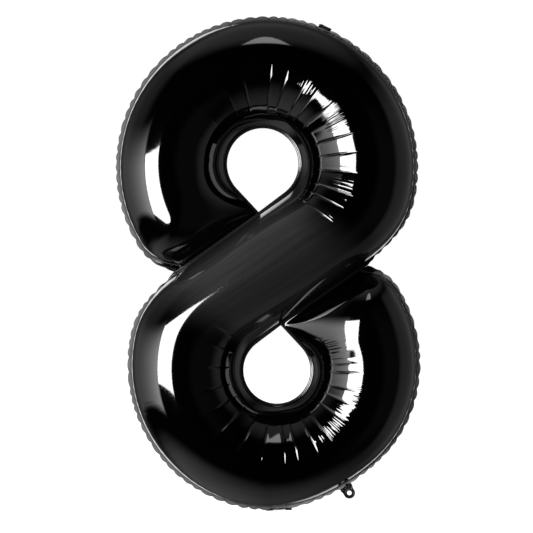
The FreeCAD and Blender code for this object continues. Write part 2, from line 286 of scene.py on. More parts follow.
def sampled(pieces, u):
    """Points on a rail at tube positions u, which run from 0 to STARTS[-1]."""
    whole = pieces[0]
    for piece in pieces[1:]:
        whole = join(whole, piece)
    stations = np.concatenate([[0.0], np.cumsum([lengths(piece)[-1] for piece in pieces])])
    reached = evened(np.interp(EVEN, STARTS, stations)[:, None], EVENING)[:, 0]
    return along(whole, np.clip(np.interp(u, EVEN, reached) / stations[-1], 0, 1))


def summed(values):
    """Twice the trapezoid sum of the values up to each one."""
    return np.concatenate([[0.0], np.cumsum(values[1:] + values[:-1])])


def section(curvature, count):
    """Half of a film tube's cross-section: place across it from +1 (outer side) to -1, and depth.

    Film carries no load round the loop, so its curvature grows in step with the distance from the
    loop's centre. The film stands upright at the outer weld, and meets the inner one at a slant.
    """
    rho = 1 / max(curvature, 1e-3)
    outer, inner = rho + 1, rho - 1
    low, high = 0.0, math.sqrt(rho * rho + 1) - rho
    for _ in range(40):
        crest = rho + (low + high) / 2
        span = outer ** 2 - crest ** 2
        first = math.asin(max(-1.0, -(crest ** 2 - inner ** 2) / span))
        slope = np.linspace(first, math.pi / 2, SECTION_STEPS)
        r = np.sqrt(crest ** 2 + span * np.sin(slope))
        rise = summed(np.sin(slope) / r)
        if rise[-1] > 0:
            low = crest - rho
        else:
            high = crest - rho
    step = (slope[1] - slope[0]) / 2
    depth = -rise * span / 2 * step
    path = summed(1 / r) * span / 2 * step
    share = np.linspace(1, 0, count + 1) * path[-1]
    return np.interp(share, path, r - rho), np.interp(share, path, depth)


def smooth(t):
    t = np.clip(t, 0.0, 1.0)
    return t * t * (3 - 2 * t)


def between(value, low, high):
    """0 below the low end, 1 above the high one, and a smooth rise from one to the other."""
    return smooth((value - low) / (high - low))


def crease_places(loop, rail, first, last, creases):
    """The tube position of each crease, from its angle at the hole."""
    u = np.linspace(STARTS[first], STARTS[last], RAIL_STEPS)
    p = sampled(rail, u) - loop.hole
    angle = np.degrees(np.unwrap(np.arctan2(p[:, 1], p[:, 0])))
    found = []
    for wanted, depth, reach in creases:
        turns = wanted + 360 * np.round((angle.mean() - wanted) / 360)
        found.append((u[np.argmin(np.abs(angle - turns))], depth, reach, loop))
    return found


UPPER_LOOP, LOWER_LOOP = (0, 4), (PIECES - 4, PIECES)
CREASES = (crease_places(UPPER, TUBE_B, *UPPER_LOOP, UPPER_CREASES)
           + crease_places(LOWER, TUBE_A, *LOWER_LOOP, LOWER_CREASES))


def columns():
    """Tube positions of the mesh columns: even ones, and close ones beside each crease."""
    end = np.array(END_COLUMNS)
    even = np.arange(end[-1] + COLUMN_STEP, STARTS[-1] - end[-1] - COLUMN_STEP / 2, COLUMN_STEP)
    centres = np.array([c[0] for c in CREASES])
    beside = np.array(CREASE_COLUMNS) * UPPER_RADIUS / CREASE_RADIUS
    near = np.min(np.abs(even[:, None] - centres[None]), axis=1) < beside[-1] + COLUMN_CLEAR
    kept = [end, even[~near], STARTS[-1] - end[::-1]] + [c + beside for c in centres]
    u = np.unique(np.round(np.concatenate(kept), 3))
    u = u[(u >= 0) & (u <= STARTS[-1])]
    apart = np.concatenate([[True], np.diff(u) > COLUMN_LEAST])
    apart[-1] = True
    return u[apart]


U = columns()
RAIL_A, RAIL_B = sampled(TUBE_A, U), sampled(TUBE_B, U)
OUT_A, OUT_B = sampled(EDGE_A, U), sampled(EDGE_B, U)


def puckers(first, last):
    """Nicks along an outer weld. For each column: the nick, the film's lean, and the cut-back edge."""
    start, end = STARTS[first], STARTS[last]
    steps = PUCKER_STEP * (1 + PUCKER_SPREAD * rng.uniform(-1, 1, PUCKER_DRAWS))
    nicks = start + np.cumsum(steps)
    nicks = nicks[nicks < end + PUCKER_STEP]
    size = rng.uniform(*PUCKER_SIZE, len(nicks) + 1)
    lean = rng.uniform(-1, 1, len(nicks) + 1)
    index = np.searchsorted(nicks, U)
    before = np.concatenate([[start - PUCKER_STEP], nicks])[index]
    after = np.concatenate([nicks, [end + 2 * PUCKER_STEP]])[index]
    t = np.clip((U - before) / (after - before), 0, 1)
    bulge = np.sqrt(np.clip(4 * t * (1 - t), 0, 1))
    inside = smooth((U - start) / PUCKER_FADE) * smooth((end - U) / PUCKER_FADE)
    lobe = (1 - 4 * t * (1 - t)) * (SCALLOP_LEAST + (1 - SCALLOP_LEAST) * size[index]) * inside
    return (1 - bulge) * size[index] * inside, bulge * lean[index] * inside, lobe


def film_grid():
    """Places of the tube's surface, one row of points across the tube for each column."""
    count = len(U)
    tables = [section(c, ROWS) for c in np.linspace(0, LOOP_CURVATURE, SECTIONS)]
    across = np.array([t[0] for t in tables])
    depth = np.array([t[1] for t in tables])
    middle = STARTS[-1] / 2
    turn = STARTS[PIECES // 2 - 2] - middle
    signed = LOOP_CURVATURE * np.sin(np.clip((EVEN - middle) / turn, -1, 1) * math.pi / 2)
    place = np.abs(signed) / LOOP_CURVATURE * (len(tables) - 1)
    low = np.clip(np.floor(place).astype(int), 0, len(tables) - 2)
    part = (place - low)[:, None]
    x = across[low] * (1 - part) + across[low + 1] * part
    d = depth[low] * (1 - part) + depth[low + 1] * part
    other = signed < 0
    x[other] = -x[other][:, ::-1]
    d[other] = d[other][:, ::-1]
    x, d = (evened(table, CHANGING) for table in (x, d))
    at = np.clip(np.round(U).astype(int), 0, len(EVEN) - 1)
    part = (U - EVEN[at])[:, None]
    x, d = (table[at] + np.gradient(table, axis=0)[at] * part for table in (x, d))
    width = np.linalg.norm(RAIL_B - RAIL_A, axis=1)
    share = (1 - x) / 2
    points = np.zeros((count, ROWS + 1, 3))
    flat = RAIL_A[:, None] + (RAIL_B - RAIL_A)[:, None] * share[:, :, None]
    points[:, :, 0], points[:, :, 2] = flat[:, :, 0], flat[:, :, 1]
    crest = np.interp(EVEN, U, d.max(axis=1) * width / 2)
    level = evened(crest[:, None], LEVELLING)[:, 0]
    factor = np.interp(U, EVEN, HALF_DEPTH * level / crest / level.max())
    points[:, :, 1] = -d * (factor * width / 2)[:, None]
    for loop, near, inward in ((UPPER, U < STARTS[1], share), (LOWER, U > STARTS[-2], 1 - share)):
        reach = END_LENGTH + (HOLE_END_LENGTH - END_LENGTH) * smooth(inward[near])
        from_weld = (flat[near] - loop.tip) @ loop.up - CROSS_MARGIN
        rise = np.sqrt(1 - (1 - np.clip(from_weld / reach, 0, 1)) ** 2)
        points[near, :, 1] *= rise
    return points


def normals(points):
    du = np.gradient(points, axis=0)
    dv = np.gradient(points, axis=1)
    n = np.cross(dv, du)
    n /= np.maximum(np.linalg.norm(n, axis=2, keepdims=True), 1e-9)
    return n * np.where(n[:, :, 1:2].mean() > 0, -1, 1)


BASE = film_grid()


def creased(points):
    """The surface with its creases, the fuller lobes between them, and the puckers at the weld."""
    n = normals(points)
    steps = np.linalg.norm(np.diff(points, axis=0), axis=2)
    side = np.concatenate([np.zeros((1, ROWS + 1)), np.cumsum(steps, axis=0)])
    push = np.zeros(points.shape[:2])
    for loop, (first, last) in ((UPPER, UPPER_LOOP), (LOWER, LOWER_LOOP)):
        mine = sorted(c for c in CREASES if c[3] is loop)
        radius = np.linalg.norm(points[:, :, [0, 2]] - loop.hole, axis=2)
        for place, depth, reach, _ in mine:
            k = np.argmin(np.abs(U - place))
            wander = rng.normal(0, WANDER) * between(radius[k], *WANDER_RADII)
            apart = side - side[k] - wander
            start = loop.hole_radius + HOLE_MARGIN + CREASE_INSET
            end = reach - CREASE_TAIL
            fade = between(radius, start, start + CREASE_RISE) * (1 - between(radius, end, end + CREASE_FALL))
            push -= depth * np.exp(-np.abs(apart) / CREASE_WIDTH) * fade
        places = np.array([c[0] for c in mine])
        low, full, high = LOBE_RADII
        for before, after in zip(places[:-1], places[1:]):
            lobe = (U > before) & (U < after)
            t = (U[lobe] - before) / (after - before)
            gap = 2 * math.pi * LOBE_TURN * (after - before) / (STARTS[last] - STARTS[first])
            fade = between(radius[lobe], low, full) * (1 - between(radius[lobe], full, high))
            push[lobe] += (4 * t * (1 - t))[:, None] * radius[lobe] * gap ** 2 / 8 * FULLNESS * fade
    path = np.linalg.norm(np.diff(points, axis=1), axis=2)
    reach_a = np.concatenate([np.zeros((len(U), 1)), np.cumsum(path, axis=1)], axis=1)
    reach_b = reach_a[:, -1:] - reach_a
    for nick, reach in ((NICKS_A[0], reach_a), (NICKS_B[0], reach_b)):
        fade = np.exp(-reach / PUCKER_REACH) * smooth(reach / PUCKER_START)
        push -= PUCKER_DEPTH * nick[:, None] * fade
    return points + n * push[:, :, None]


NICKS_A, NICKS_B = puckers(*UPPER_LOOP), puckers(*LOWER_LOOP)


def margins(rail, edge, nicks):
    """Rows of the flat weld beside a rail: close to the tube, at the cut edge, and the edge's face.

    Each row comes with how far the weld leans out of its plane there.
    """
    _, wave, lobe = nicks
    out = edge - rail
    width = np.linalg.norm(out, axis=1, keepdims=True)
    out = out / np.maximum(width, 1e-6)
    cut = edge - out * (SCALLOP * lobe)[:, None]
    near = rail + out * np.minimum(width * INNER_SHARE, INNER_MARGIN)
    lift = FLANGE_WAVE * wave
    rows = []
    for flat, height, thick in ((near, INNER_LIFT * lift, FILM), (cut, lift, FILM), (cut, lift, 0.0)):
        row = np.zeros((len(U), 3))
        row[:, 0], row[:, 2] = flat[:, 0], flat[:, 1]
        row[:, 1] = -thick
        rows.append((row, height))
    return rows


def closing(column, loop):
    """A last column past the middle of the weld where a tube's closed end meets the other tube."""
    last = column.copy()
    last[MARGIN_ROWS:-MARGIN_ROWS, 0] -= loop.up[0] * (CROSS_MARGIN + OVERLAP)
    last[MARGIN_ROWS:-MARGIN_ROWS, 2] -= loop.up[1] * (CROSS_MARGIN + OVERLAP)
    for tube, near, cut in ((3, 2, 1), (-4, -3, -2)):
        last[near] = last[tube] + (last[cut] - last[tube]) * INNER_SHARE
    return last


def film_points(back):
    """The whole sheet. The weld margins lean the same way on both films; the tube is mirrored."""
    tube = creased(BASE)
    tube[:, :, 1] -= FILM
    beside_a = margins(RAIL_A, OUT_A, NICKS_A)
    beside_b = margins(RAIL_B, OUT_B, NICKS_B)
    sheet = [row for row, _ in beside_a[::-1]] + [tube[:, i] for i in range(ROWS + 1)]
    sheet += [row for row, _ in beside_b]
    sheet = np.stack(sheet, axis=1)
    if back:
        sheet[:, :, 1] *= -1
    for i, (_, height) in enumerate(beside_a[::-1]):
        sheet[:, i, 1] += height
    for i, (_, height) in enumerate(beside_b):
        sheet[:, i - MARGIN_ROWS, 1] += height
    return np.concatenate([closing(sheet[0], UPPER)[None], sheet, closing(sheet[-1], LOWER)[None]])


def sheet_mesh(name, points, back, coordinates, finish_and_painted_light):
    """A mesh from a grid of points, with a UV map of its places on the film and its finish there, painted
    sheen and painted weld light included.
    """
    rows, cols = points.shape[:2]
    index = np.arange(rows * cols).reshape(rows, cols)
    quads = np.stack([index[:-1, :-1], index[1:, :-1], index[1:, 1:], index[:-1, 1:]], -1).reshape(-1, 4)
    if not back:
        quads = quads[:, ::-1]
    mesh = bpy.data.meshes.new(name)
    mesh.from_pydata((points.reshape(-1, 3) * MM).tolist(), [], quads.tolist())
    layer = mesh.uv_layers.new(name="film")
    loops = np.zeros(len(mesh.loops), dtype=np.int32)
    mesh.loops.foreach_get("vertex_index", loops)
    layer.data.foreach_set("uv", coordinates.reshape(-1, 2)[loops].astype(np.float32).ravel())
    layer = mesh.color_attributes.new(name="finish_and_painted_light", type="FLOAT_COLOR", domain="POINT")
    layer.data.foreach_set("color", finish_and_painted_light.astype(np.float32).ravel())
    mesh.polygons.foreach_set("use_smooth", np.ones(len(mesh.polygons), dtype=bool))
    cleaned(mesh, False)
    return added(name, mesh)


def added(name, data):
    """A new object in the scene."""
    made = bpy.data.objects.new(name, data)
    bpy.context.scene.collection.objects.link(made)
    return made


def cleaned(mesh, closed):
    """Merge points that coincide, so no face is empty, and turn a closed mesh's faces outward."""
    shape = bmesh.new()
    shape.from_mesh(mesh)
    bmesh.ops.remove_doubles(shape, verts=shape.verts, dist=MERGE)
    bmesh.ops.dissolve_degenerate(shape, edges=shape.edges, dist=MERGE)
    if closed and shape.calc_volume(signed=True) < 0:
        bmesh.ops.reverse_faces(shape, faces=shape.faces)
    shape.to_mesh(mesh)
    shape.free()
    mesh.update()


# ---- materials ----

FOIL_IOR = 1.5
# The pale colour serves a weld's grey and also painted light: the painted sheen and the painted weld light.
FOIL_BLACK, PALE_WELD_AND_PAINTED_LIGHT = (0.0002, 0.0002, 0.0003), (0.6, 0.6, 0.615)
FOIL_ROUGHNESS, HAZE_ROUGHNESS = 0.05, 0.09
WELD_ROUGHNESS, WELD_GAIN = 0.85, 40.0    # a weld is rough even where it is only a little pale
SHEEN = 0.016               # painted sheen: a pale tint of a hazy place, and as much again where the streaks are
STREAKS = (6.0, 34.0, 3.0)    # noise along the tube per metre, across the film, and detail
WRINKLES = (190.0, 1.2, 0.0)
WRINKLE_HEIGHT, TRIM_HEIGHT = 0.0009, 0.0005    # metres
TRIM_BLACK, TRIM_ROUGHNESS = (0.004, 0.004, 0.0042), (0.12, 0.42)
TRIM_NOISE, TRIM_DETAIL = 260.0, 2.0
CLEAR_DIM, CLEAR_BRIGHT = (0.55, 0.57, 0.6), (0.75, 0.77, 0.8)
CLEAR_ALPHA, CLEAR_NOISE, CLEAR_DETAIL = 0.5, 90.0, 2.0


def node(tree, kind, **settings):
    made = tree.nodes.new(kind)
    for key, value in settings.items():
        setattr(made, key, value)
    return made


def maths(tree, operation, a, b=None):
    """The result of a maths node. Each input is a number or another node's output."""
    made = node(tree, "ShaderNodeMath", operation=operation)
    for socket, value in zip(made.inputs, (a, b)):
        if isinstance(value, (int, float)):
            socket.default_value = value
        elif value is not None:
            tree.links.new(value, socket)
    return made.outputs[0]


def noise(tree, place, scale, detail, dimensions="3D"):
    made = node(tree, "ShaderNodeTexNoise", noise_dimensions=dimensions)
    made.inputs["Scale"].default_value = scale
    made.inputs["Detail"].default_value = detail
    tree.links.new(place, made.inputs["Vector"])
    return made.outputs["Fac"]


def film_noise(tree, place, along_tube, across_film, detail):
    """Noise that is finer one way over the film than the other."""
    stretch = node(tree, "ShaderNodeVectorMath", operation="MULTIPLY")
    stretch.inputs[1].default_value = (along_tube, across_film, 1)
    tree.links.new(place, stretch.inputs[0])
    return noise(tree, stretch.outputs[0], 1.0, detail, "2D")


def tinted(tree, shader, share, first, second):
    """Give a shader a colour between two, by a share."""
    tint = node(tree, "ShaderNodeMix", data_type="RGBA")
    tint.inputs[6].default_value = (*first, 1)
    tint.inputs[7].default_value = (*second, 1)
    tree.links.new(share, tint.inputs[0])
    tree.links.new(tint.outputs[2], shader.inputs["Base Color"])


def bumped(tree, shader, height, metres):
    """Give a shader's surface a relief, so many metres high where the height is 1."""
    bump = node(tree, "ShaderNodeBump")
    bump.inputs["Strength"].default_value = 1.0
    bump.inputs["Distance"].default_value = metres
    tree.links.new(height, bump.inputs["Height"])
    tree.links.new(bump.outputs["Normal"], shader.inputs["Normal"])


def new_material(name):
    """A material, with its node tree and its shader."""
    material = bpy.data.materials.new(name)
    material.use_nodes = True
    return material, material.node_tree, material.node_tree.nodes["Principled BSDF"]


def film_material():
    """Glossy black foil. Its mesh says where it is hazy, finely wrinkled or pressed by the weld, and where
    its black is mixed with pale as painted sheen and painted weld light.
    """
    material, tree, shader = new_material("black_foil")
    shader.inputs["IOR"].default_value = FOIL_IOR
    finish_and_painted_light = node(tree, "ShaderNodeVertexColor", layer_name="finish_and_painted_light")
    parts = node(tree, "ShaderNodeSeparateColor")
    tree.links.new(finish_and_painted_light.outputs["Color"], parts.inputs["Color"])
    haze_and_sheen, wrinkle, weld = parts.outputs
    place = node(tree, "ShaderNodeUVMap", uv_map="film").outputs["UV"]
    streaks = film_noise(tree, place, *STREAKS)
    hazy = maths(tree, "MULTIPLY", haze_and_sheen, maths(tree, "MULTIPLY", streaks, HAZE_ROUGHNESS))
    pressed = maths(tree, "MINIMUM", maths(tree, "MULTIPLY", weld, WELD_GAIN), WELD_ROUGHNESS)
    rough = maths(tree, "MAXIMUM", maths(tree, "ADD", FOIL_ROUGHNESS, hazy), pressed)
    tree.links.new(rough, shader.inputs["Roughness"])
    # Painted sheen: a pale tint where the film is hazy, stronger along the streaks.
    streaked = maths(tree, "ADD", SHEEN, maths(tree, "MULTIPLY", streaks, SHEEN))
    sheen = maths(tree, "MULTIPLY", haze_and_sheen, streaked)
    # Painted light: the black turns pale with the painted sheen and with the welds' paleness and painted weld
    # light.
    tinted(tree, shader, maths(tree, "MAXIMUM", weld, sheen), FOIL_BLACK, PALE_WELD_AND_PAINTED_LIGHT)
    fine = maths(tree, "MULTIPLY", film_noise(tree, place, *WRINKLES), wrinkle)
    bumped(tree, shader, fine, WRINKLE_HEIGHT)
    return material


def trim_material():
    """The welded tabs and neck: the same foil, pressed dull in places and finely puckered."""
    material, tree, shader = new_material("black_foil_trim")
    shader.inputs["Base Color"].default_value = (*TRIM_BLACK, 1)
    shader.inputs["IOR"].default_value = FOIL_IOR
    place = node(tree, "ShaderNodeTexCoord").outputs["Object"]
    pucker = noise(tree, place, TRIM_NOISE, TRIM_DETAIL)
    rough = node(tree, "ShaderNodeMapRange")
    rough.inputs["To Min"].default_value, rough.inputs["To Max"].default_value = TRIM_ROUGHNESS
    tree.links.new(pucker, rough.inputs["Value"])
    tree.links.new(rough.outputs[0], shader.inputs["Roughness"])
    bumped(tree, shader, pucker, TRIM_HEIGHT)
    return material


def valve_material():
    """Thin clear valve film with a faint milky cast."""
    material, tree, shader = new_material("clear_film")
    shader.inputs["Alpha"].default_value = CLEAR_ALPHA
    place = node(tree, "ShaderNodeTexCoord").outputs["Object"]
    tinted(tree, shader, noise(tree, place, CLEAR_NOISE, CLEAR_DETAIL), CLEAR_DIM, CLEAR_BRIGHT)
    return material


BLACK, TRIM, CLEAR = film_material(), trim_material(), valve_material()


# ---- films ----

def with_ends(values):
    """Values for the columns, and again for the closing column at each end."""
    return np.concatenate([values[:1], values, values[-1:]])


def outer_weld_tint_and_painted_light(edge, nicks):
    """How pale an outer weld is, most of it painted light: paler to the right, where the tube shades it from
    the key light, and darkened by painted shade in its nicks and at the waist's notches.
    """
    notches = [np.linalg.norm(edge - loop.notch, axis=1) for loop in (UPPER, LOWER)]
    # Painted light: the weld pales towards the right, where the tube shades it from the key light.
    pale = WELD_LEFT + (1 - WELD_LEFT) * between(edge[:, 0], PAINTED_LIGHT_FROM, PAINTED_LIGHT_FROM + PAINTED_LIGHT_OVER)
    # Painted shade: the weld is darker near the notches, and in its nicks below.
    away = between(np.minimum(*notches), NOTCH_PAINTED_SHADE, NOTCH_PAINTED_SHADE + NOTCH_OVER)
    return with_ends(pale * (1 - NICK_PAINTED_SHADE * nicks[0]) * away)


def welded(u):
    """How pale a weld each point of the sheet is, with the outer welds' painted light and painted shade, and
    a trace of it in the tube's row beside one.
    """
    outer_a, outer_b = u < STARTS[UPPER_LOOP[1]], u > STARTS[LOWER_LOOP[0]]
    weld = np.zeros((len(u), SHEET_ROWS))
    for margin, beside, outer, hole, pale in (
            (slice(0, MARGIN_ROWS), MARGIN_ROWS, outer_a, outer_b, outer_weld_tint_and_painted_light(OUT_A, NICKS_A)),
            (slice(-MARGIN_ROWS, None), -MARGIN_ROWS - 1, outer_b, outer_a, outer_weld_tint_and_painted_light(OUT_B, NICKS_B))):
        weld[:, margin] = np.where(outer, pale, np.where(hole, HOLE_WELD, 0.0))[:, None]
        weld[:, beside] = np.where(outer, WELD_FOOT, 0.0)
    return weld


def around_hole(loop):
    """How far each point of the sheet lies from the middle of a loop's hole, and at what angle."""
    flat = BASE[:, :, [0, 2]] - loop.hole
    radius = np.linalg.norm(flat, axis=2)
    angle = np.degrees(np.arctan2(flat[:, :, 1], flat[:, :, 0]))
    sides = ((1, 1), (MARGIN_ROWS, MARGIN_ROWS))
    return np.pad(radius, sides, mode="edge"), np.pad(angle, sides, mode="edge")


def wrinkled(u):
    """How finely wrinkled the film is: just outside the creases, most at the holes' far sides."""
    strength = np.zeros((len(u), SHEET_ROWS))
    for loop, (first, last), bundles in ((UPPER, UPPER_LOOP, UPPER_BUNDLES),
                                         (LOWER, LOWER_LOOP, LOWER_BUNDLES)):
        radius, angle = around_hole(loop)
        mine = ((u >= STARTS[first]) & (u <= STARTS[last]))[:, None]
        for middle, spread, inner, outer in bundles:
            off = (angle - middle + 180) % 360 - 180
            grown = between(radius, inner, inner + BUNDLE_IN)
            faded = 1 - between(radius, outer, outer + BUNDLE_OUT)
            strength = np.maximum(strength, np.exp(-(off / spread) ** 2) * grown * faded * mine)
    return strength


def film_finish_and_painted_light():
    """For each point of the sheet: how hazy, which also sets its painted sheen; how finely wrinkled; and how
    pale a weld it is, with painted light and painted shade on the outer welds.
    """
    u = with_ends(U)
    from_middle = np.abs(u - STARTS[-1] / 2 - HAZE_SHIFT)
    haze_and_sheen = 1 - between(from_middle, HAZE_HALF, HAZE_HALF + HAZE_FADE)
    # Painted sheen: the haze, and with it the pale tint, is strongest along one line of the diagonal.
    ridge = np.exp(-((np.linspace(0, 1, SHEET_ROWS) - RIDGE) / RIDGE_WIDTH) ** 2)
    values = np.ones((len(u), SHEET_ROWS, 4))
    values[:, :, 0] = haze_and_sheen[:, None] * (HAZE_FLOOR + (1 - HAZE_FLOOR) * ridge)
    values[:, :, 1] = wrinkled(u)
    values[:, :, 2] = welded(u)
    return values


for name, back in (("front_film", False), ("back_film", True)):
    points = film_points(back)
    uv = np.zeros(points.shape[:2] + (2,))
    uv[:, :, 0] = with_ends(U)[:, None] * MM
    uv[:, :, 1] = np.linspace(0, 1, points.shape[1])[None]
    piece = sheet_mesh(name, points, back, uv, film_finish_and_painted_light())
    piece.data.materials.append(BLACK)
    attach(piece, "balloon")
    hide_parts("back_panel" if back else "front_panel")


# ---- tabs, neck and valve ----

TAB_ROOT, TAB_SHOULDER, TAB_RADIUS, TAB_HEAD = 24.0, 6.0, 10.0, 12.0
TAB_CURVE = range(-10, 191, 8)    # directions of the round head's corners, in degrees
TAB_DIRECTIONS = np.arange(0, 360, 3.0)    # of the mesh's rows of points, in degrees
# Half thickness at shares of the way from the eyelet to the edge: a pressed rim, then a weld.
TAB_PROFILE = ((0.0, 0.25), (0.06, 0.62), (0.16, 0.75), (0.3, 0.5), (0.5, 0.42), (0.7, 0.46),
               (0.86, 0.55), (0.96, 0.5), (1.0, 0.3))
BUCKLE, BUCKLE_WAVE, BUCKLE_SHIFT, BUCKLE_RISE = 0.7, 3.4, 0.8, 8.0
EYELET_RADIUS, HINGE_GAP = 4.0, 2.0
LOWER_TAB_ANGLE, LOWER_TAB_FOLD = -59.5, 0.0
UPPER_TAB_ANGLE, UPPER_TAB_FOLD = 67.5, 78.0

STRIP_INSIDE, STRIP_OUTSIDE = 4.0, 3.0    # how far a strip reaches to either side of its crease
STRIP_BEND, STRIP_HALF = 1.5, 0.42    # where its bend starts and ends, and its half thickness
STRIP_RIPPLE, STRIP_WAVES = 0.18, 9.0
STRIP_ROWS, STRIP_COLUMNS = 13, 25
TAB_STRIP, NECK_STRIP = (23.0, 21.6), (45.0, 44.0)    # widths at the start and the end

NECK_ROOT, NECK_WIDTH, NECK_SHOULDER, NECK_LENGTH = 46.0, 30.0, 14.0, 62.0
NECK_ANGLE, NECK_FOLD = -88.0, 90.0
NECK_LIP, NECK_END, NECK_ROWS, NECK_COLUMNS = 0.4, 2.0, 40, 33    # rows: close at the ends, then even
NECK_EDGE, NECK_PUFF = 0.25, 1.5    # half thickness at the sides, and more in the middle
NECK_WAVE, NECK_WAVE_LENGTH, NECK_WAVE_SLANT, NECK_WAVE_MIDDLE = 1.1, 7.0, 1.4, 0.3
NECK_LINE, NECK_LINE_PLACE, NECK_LINE_SLANT, NECK_LINE_WIDTH = 0.5, 27.0, 5.0, 1.6
NECK_NICK, NECK_NICK_LENGTH = 0.02, 2.3

VALVE_WIDTH, VALVE_LENGTH, VALVE_FILM = 22.0, 105.0, 0.15
VALVE_ROWS, VALVE_COLUMNS = 70, 17
VALVE_HELD, VALVE_FREE = 12.0, 52.0    # its ripple grows between these distances from the edge
VALVE_RIPPLE, VALVE_RIPPLE_LENGTH, VALVE_RIPPLE_SLANT = 0.9, 11.0, 0.9
VALVE_OPEN, VALVE_GAP = 0.5, 0.01    # half the gap between the two films: in the middle, at the sides


def edge_axes(loop, angle, fold):
    """A hinge's middle, and its local X along the edge, Y to the back and Z out of the film."""
    middle = loop.on_edge(-HINGE_GAP / 2, angle - loop.turn)
    a, f = math.radians(angle), math.radians(fold)
    out = np.array([math.cos(a), 0.0, math.sin(a)])
    back = np.array([0.0, 1.0, 0.0])
    side = np.array([math.sin(a), 0.0, -math.cos(a)])
    return (np.array([middle[0], 0.0, middle[1]]), side,
            math.cos(f) * back - math.sin(f) * out, math.sin(f) * back + math.cos(f) * out)


def placed(points, axes):
    middle, side, back, out = axes
    return middle + points[..., :1] * side + points[..., 1:2] * back + points[..., 2:] * out


def ring(x, low, high, z):
    """A closed ring of points at one height: along the low side, and back along the high one."""
    z = np.full(x.shape, z)
    return np.concatenate([np.stack([x, low, z], -1), np.stack([x, high, z], -1)[::-1]])


def finished(name, points, loops, body, nodes, blend=None, material=TRIM):
    """A closed piece from rings of points. The last ring joins the first, or both ends are capped.

    With a blend, the piece keeps its place and is not attached to its body; the blend's two points, in
    millimetres, are not used.
    """
    rings, count = points.shape[:2]
    index = np.arange(rings * count).reshape(rings, count)
    after = np.roll(index, -1, axis=0) if loops else index[1:]
    before = index if loops else index[:-1]
    corners = [before, np.roll(before, -1, axis=1), np.roll(after, -1, axis=1), after]
    faces = np.stack(corners, -1).reshape(-1, 4).tolist()
    if not loops:
        faces += [index[0][::-1].tolist(), index[-1].tolist()]
    mesh = bpy.data.meshes.new(name)
    mesh.from_pydata((points.reshape(-1, 3) * MM).tolist(), [], faces)
    mesh.polygons.foreach_set("use_smooth", np.ones(len(mesh.polygons), dtype=bool))
    mesh.materials.append(material)
    cleaned(mesh, True)
    piece = added(name, mesh)
    if blend is None:
        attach(piece, body)
    else:
        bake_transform(piece)
    if nodes:
        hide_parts(*nodes)


def tab_outline(direction):
    """How far the tab's edge is from the eyelet's middle, in a direction in degrees."""
    low = HINGE_GAP / 2 - TAB_HEAD
    corners = [(TAB_ROOT / 2, low), (TAB_RADIUS, low + TAB_SHOULDER)]
    corners += [tuple(polar((0, 0), TAB_RADIUS, a)) for a in TAB_CURVE]
    corners += [(-TAB_RADIUS, low + TAB_SHOULDER), (-TAB_ROOT / 2, low)]
    ray = polar((0, 0), 1.0, direction)
    reach = TAB_RADIUS
    for p, q in zip(corners, corners[1:] + corners[:1]):
        d = np.subtract(q, p)
        cross = ray[0] * d[1] - ray[1] * d[0]
        if abs(cross) < 1e-9:
            continue
        t = (p[0] * d[1] - p[1] * d[0]) / cross
        k = (p[0] * ray[1] - p[1] * ray[0]) / cross
        if t > 0 and -1e-6 <= k <= 1 + 1e-6:
            reach = t
    return reach


def tab(name, loop, angle, fold):
    """A welded tab with a pressed rim round its eyelet, slightly buckled, and the strip at its root."""
    axes = edge_axes(loop, angle, fold)
    reach = np.array([tab_outline(d) for d in TAB_DIRECTIONS])
    rows = []
    for side, profile in ((-1, TAB_PROFILE), (1, TAB_PROFILE[::-1])):
        for share, half in profile:
            radius = EYELET_RADIUS + (reach - EYELET_RADIUS) * share
            x, z = (polar((0, 0), 1.0, TAB_DIRECTIONS) * radius[:, None]).T
            grown = share * smooth((z + TAB_HEAD) / BUCKLE_RISE)
            buckle = BUCKLE * np.sin(x / BUCKLE_WAVE + BUCKLE_SHIFT) * grown
            rows.append(np.stack([x, side * half + buckle, z + TAB_HEAD], axis=-1))
    finished(name, placed(np.array(rows), axes), True, name, (name + "_front", name + "_back"))
    root(name, axes, angle, *TAB_STRIP)


def root(body, axes, angle, wide, narrow):
    """The strip of film that bends from the welded margin to a tab or the neck."""
    middle, side, _, out = axes
    a = math.radians(angle)
    flat_out = np.array([math.cos(a), 0.0, math.sin(a)])
    t = np.linspace(0, 1, STRIP_ROWS)[:, None]
    start, end = middle - flat_out * STRIP_INSIDE, middle + out * STRIP_OUTSIDE
    path = start * (1 - t) ** 2 + 2 * middle * t * (1 - t) + end * t ** 2
    ahead = np.gradient(path, axis=0)
    ahead /= np.linalg.norm(ahead, axis=1, keepdims=True)
    across = np.linspace(-1, 1, STRIP_COLUMNS)[:, None]
    ripple = STRIP_RIPPLE * np.sin(across * STRIP_WAVES)
    rings = []
    for place, share, thick in zip(path, t[:, 0], np.cross(ahead, side)):
        row = place + side * across * (wide + (narrow - wide) * share) / 2
        top, low = row + thick * (ripple + STRIP_HALF), row + thick * (ripple - STRIP_HALF)
        rings.append(np.concatenate([top, low[::-1]]))
    bend = (middle - flat_out * STRIP_BEND, middle + out * STRIP_BEND)
    finished(body + "_root", np.array(rings), False, body, (), bend)


